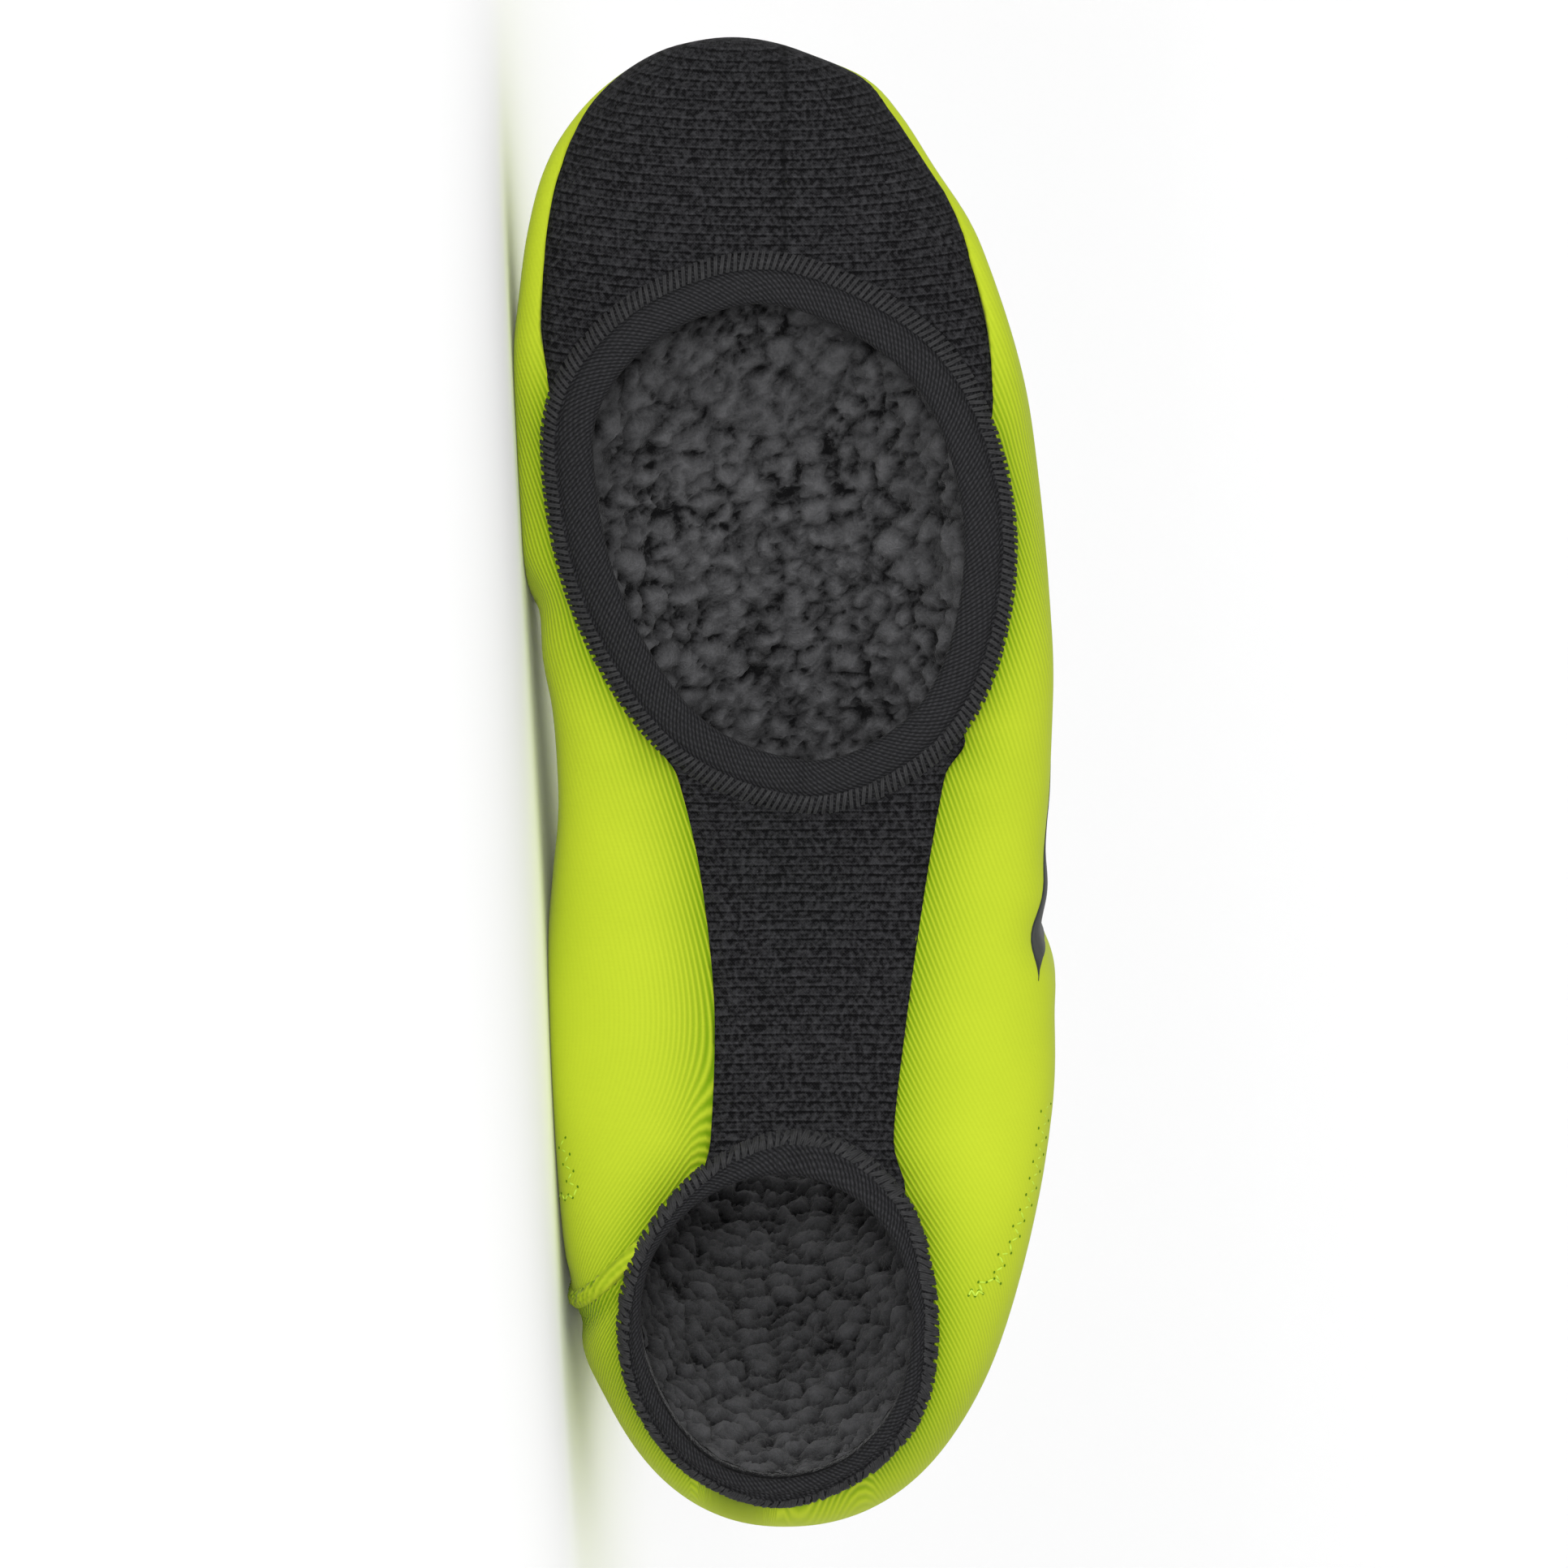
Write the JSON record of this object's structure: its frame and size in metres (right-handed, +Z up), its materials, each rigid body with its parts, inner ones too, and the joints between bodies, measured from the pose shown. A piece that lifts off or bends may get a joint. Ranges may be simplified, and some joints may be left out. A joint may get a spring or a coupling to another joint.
{
  "type": "cycling overshoe",
  "caption": "Left cycling overshoe in neon stretch knit with a fleece lining, black woven toe and arch panels and bound openings for cleat and heel, lying on its medial side",
  "frame": {"origin": "on the floor under the middle of the bounding box, with the overshoe lying on its medial side", "axes": "+X from the toe to the heel, +Y from the sole to the instep and collar, +Z up, which is the shoe's lateral side"},
  "size_m": [0.2998, 0.1884, 0.1038],
  "materials": {
    "neon_stretch_knit": "ribbed stretch knit, matt",
    "black_ripstop_weave": "coated ripstop weave, low sheen",
    "black_binding_knit": "diagonal knit binding, matt",
    "fleece": "sherpa fleece lining, matt"
  },
  "bodies": {
    "root": {"upper": "neon_stretch_knit", "seam_welt": "neon_stretch_knit", "toe_panel": "black_ripstop_weave", "arch_panel": "black_ripstop_weave", "ball_binding": "black_binding_knit", "heel_binding": "black_binding_knit", "collar_hem": "black_binding_knit"}
  },
  "joints": []
}
